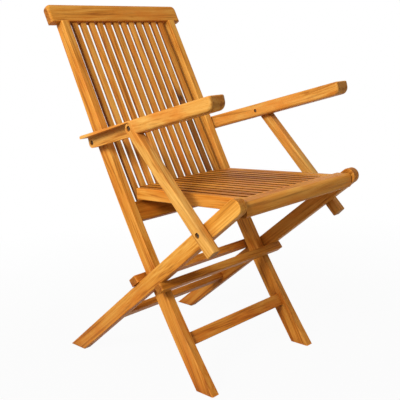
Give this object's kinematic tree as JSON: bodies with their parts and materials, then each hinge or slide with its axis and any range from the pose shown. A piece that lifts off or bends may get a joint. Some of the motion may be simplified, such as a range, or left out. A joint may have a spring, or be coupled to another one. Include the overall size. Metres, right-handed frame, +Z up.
{
  "type": "folding armchair",
  "caption": "Folding outdoor armchair in solid teak with a tall slatted back, a slatted seat, crossed legs and sloping arms on struts that fold with it.",
  "frame": {"origin": "middle of the box round the open chair, at floor level", "axes": "+X to the sitter's left, +Y to the rear of the chair, +Z up"},
  "size_m": [0.472, 0.6547, 0.8996],
  "materials": {
    "teak_frame": "oiled teak, satin",
    "teak_arm": "oiled teak, satin",
    "teak_back_slat": "oiled teak, satin",
    "teak_seat_slat": "oiled teak, satin",
    "bolt_steel": "dull stainless steel",
    "insert_brass": "plain brass"
  },
  "bodies": {
    "back_frame": {"arm_insert_left": "insert_brass", "arm_insert_right": "insert_brass", "back_slat_01": "teak_back_slat", "back_slat_02": "teak_back_slat", "back_slat_03": "teak_back_slat", "back_slat_04": "teak_back_slat", "back_slat_05": "teak_back_slat", "back_slat_06": "teak_back_slat", "back_slat_07": "teak_back_slat", "back_slat_08": "teak_back_slat", "back_slat_09": "teak_back_slat", "back_slat_10": "teak_back_slat", "back_slat_11": "teak_back_slat", "back_slat_12": "teak_back_slat", "crest_rail": "teak_frame", "front_stretcher": "teak_frame", "lower_back_rail": "teak_frame", "stile_left": "teak_frame", "stile_right": "teak_frame"},
    "legs": {"crossing_pin_left": "bolt_steel", "crossing_pin_right": "bolt_steel", "front_cross_bar": "teak_frame", "rear_cross_bar": "teak_frame", "rear_leg_left": "teak_frame", "rear_leg_right": "teak_frame", "rear_stretcher": "teak_frame", "seat_pin_left": "bolt_steel", "seat_pin_right": "bolt_steel", "strut_foot_bolt_left": "bolt_steel", "strut_foot_bolt_right": "bolt_steel"},
    "seat": {"front_seat_rail": "teak_frame", "rear_seat_rail": "teak_frame", "seat_rail_left": "teak_frame", "seat_rail_right": "teak_frame", "seat_slat_01": "teak_seat_slat", "seat_slat_02": "teak_seat_slat", "seat_slat_03": "teak_seat_slat", "seat_slat_04": "teak_seat_slat", "seat_slat_05": "teak_seat_slat", "seat_slat_06": "teak_seat_slat", "seat_slat_07": "teak_seat_slat", "seat_slat_08": "teak_seat_slat", "seat_slat_09": "teak_seat_slat", "seat_slat_10": "teak_seat_slat", "seat_slat_11": "teak_seat_slat", "seat_slat_12": "teak_seat_slat"},
    "strut_right_group": {"strut_right": "teak_arm"},
    "strut_left_group": {"strut_left": "teak_arm"},
    "arm_right_group": {"arm_rear_bolt_right": "bolt_steel", "arm_right": "teak_arm", "strut_head_bolt_right": "bolt_steel"},
    "arm_left_group": {"arm_left": "teak_arm", "arm_rear_bolt_left": "bolt_steel", "strut_head_bolt_left": "bolt_steel"}
  },
  "joints": [
    {"name": "leg_fold", "type": "hinge", "parent": "back_frame", "child": "legs", "pos_m": [0, -0.0259, 0.242], "axis": [-1, 0, 0], "range_deg": [0, 66]},
    {"name": "seat_fold", "type": "hinge", "parent": "legs", "child": "seat", "pos_m": [0, -0.30914, 0.45435], "axis": [1, 0, 0], "range_deg": [0, 138.01]},
    {"name": "strut_right_fold", "type": "hinge", "parent": "legs", "child": "strut_right_group", "pos_m": [-0.225, -0.22593, 0.39197], "axis": [1, 0, 0], "range_deg": [0, 80.23]},
    {"name": "arm_right_fold", "type": "hinge", "parent": "strut_right_group", "child": "arm_right_group", "pos_m": [-0.225, -0.029, 0.606], "axis": [-1, 0, 0], "range_deg": [0, 98.47]},
    {"name": "strut_left_fold", "type": "hinge", "parent": "legs", "child": "strut_left_group", "pos_m": [0.225, -0.22593, 0.39197], "axis": [1, 0, 0], "range_deg": [0, 80.23]},
    {"name": "arm_left_fold", "type": "hinge", "parent": "strut_left_group", "child": "arm_left_group", "pos_m": [0.225, -0.029, 0.606], "axis": [-1, 0, 0], "range_deg": [0, 98.47]}
  ],
  "couplings": [
    {"joint": "seat_fold", "follows": "leg_fold", "ratio": 2.0909},
    {"joint": "strut_right_fold", "follows": "leg_fold", "ratio": 1.2153},
    {"joint": "arm_right_fold", "follows": "leg_fold", "ratio": 1.4918},
    {"joint": "strut_left_fold", "follows": "leg_fold", "ratio": 1.2153},
    {"joint": "arm_left_fold", "follows": "leg_fold", "ratio": 1.4918}
  ]
}
